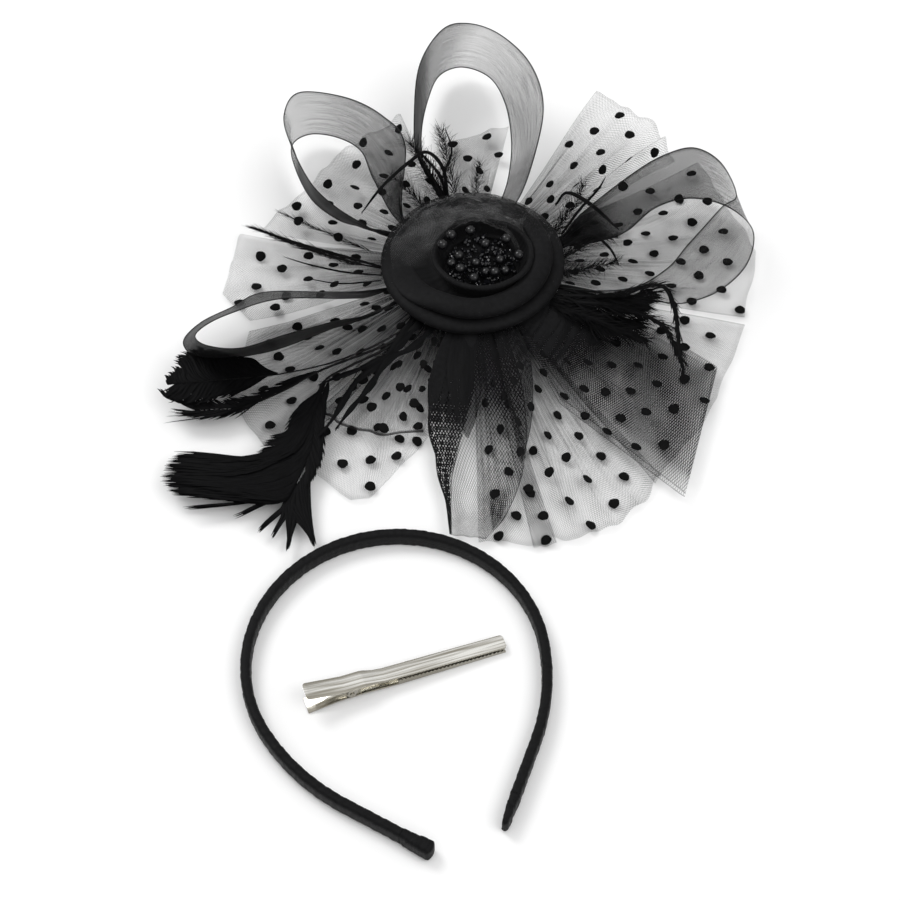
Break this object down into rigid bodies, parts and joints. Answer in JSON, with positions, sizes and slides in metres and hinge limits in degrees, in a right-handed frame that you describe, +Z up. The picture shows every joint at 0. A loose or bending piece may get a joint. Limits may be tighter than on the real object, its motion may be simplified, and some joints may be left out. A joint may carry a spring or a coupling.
{
  "type": "fascinator headpiece",
  "caption": "Feather, tulle and ribbon-loop flower on a felt strap, with its satin headband and a sprung alligator clip.",
  "frame": {"origin": "centre of the underside of the felt strap beneath the flower, on the plane that everything rests on", "axes": "+Z up out of the rosette's cup, +Y towards the flower's tall back loop and away from the headband, +X to the right"},
  "size_m": [0.2631, 0.4047, 0.044],
  "materials": {
    "dotted_tulle": "very fine net with flocked dots",
    "organza_ribbon": "sheer woven ribbon with corded edges",
    "stiff_net": "stiff diamond net",
    "quill": "semi-gloss dyed quill",
    "feather": "dyed feather barbs",
    "crin_mesh": "rolled crinoline mesh with a soft sheen",
    "cup_mesh": "stiffened crinoline mesh",
    "buckram": "matte stiffened buckram",
    "felt": "matte wool felt",
    "thread": "twisted thread",
    "pearl": "high gloss",
    "seed_bead": "high gloss faceted",
    "bead_wire": "lacquered wire",
    "band_plastic": "matte moulded",
    "satin": "satin sheen",
    "nickel": "bright nickel plate",
    "spring_steel": "plain spring steel"
  },
  "bodies": {
    "flower": {"bead_wires": "bead_wire", "biot_strips": "quill", "brim_net": "crin_mesh", "brim_roll_lower": "crin_mesh", "brim_roll_upper": "crin_mesh", "buckram_base": "buckram", "coque_feather_front_left_quill": "quill", "coque_feather_front_left_vane": "feather", "coque_feather_left_quill": "quill", "coque_feather_left_vane": "feather", "coque_feather_right_quill": "quill", "coque_feather_right_vane": "feather", "cup_lining": "cup_mesh", "cup_wall": "cup_mesh", "curled_biot": "quill", "felt_backing": "felt", "felt_strap": "felt", "felt_whipstitch": "thread", "hackle_feather_left_quill": "quill", "hackle_feather_left_vane": "feather", "marabou_feather_back_quill": "quill", "marabou_feather_back_vane": "feather", "marabou_feather_right_quill": "quill", "marabou_feather_right_vane": "feather", "net_fold_front": "stiff_net", "net_fold_right": "stiff_net", "pearl_beads": "pearl", "ribbon_loop_back": "organza_ribbon", "ribbon_loop_back_left": "organza_ribbon", "ribbon_loop_left": "organza_ribbon", "ribbon_loop_right": "organza_ribbon", "rosette_plate": "buckram", "seed_beads": "seed_bead", "tulle_leaf_back": "dotted_tulle", "tulle_leaf_back_left": "dotted_tulle", "tulle_leaf_back_right": "dotted_tulle", "tulle_leaf_front": "dotted_tulle", "tulle_leaf_front_left": "dotted_tulle", "tulle_leaf_front_left_under": "dotted_tulle", "tulle_leaf_front_right": "dotted_tulle", "tulle_leaf_left": "dotted_tulle", "tulle_leaf_left_low": "dotted_tulle", "tulle_leaf_right": "dotted_tulle", "tulle_leaf_right_low": "dotted_tulle"},
    "headband": {"headband_core": "band_plastic", "headband_end_left": "satin", "headband_end_right": "satin", "headband_wrap": "satin"},
    "clip_base": {"clip_lower_jaw": "nickel", "clip_pin": "nickel", "clip_spring": "spring_steel"},
    "clip_lever": {"clip_upper_jaw": "nickel"}
  },
  "joints": [
    {"name": "headband_lift", "type": "slide", "parent": "flower", "child": "headband", "axis": [0, 0, 1], "range_m": [0, 0.06]},
    {"name": "clip_lift", "type": "slide", "parent": "flower", "child": "clip_base", "axis": [0, 0, 1], "range_m": [0, 0.06]},
    {"name": "clip_hinge", "type": "hinge", "parent": "clip_base", "child": "clip_lever", "pos_m": [-0.049, -0.208, 0.0052], "axis": [0.3338, -0.9426, 0], "range_deg": [0, 26], "stiffness_Nm_per_rad": 0.02, "springref_deg": -34.38}
  ]
}
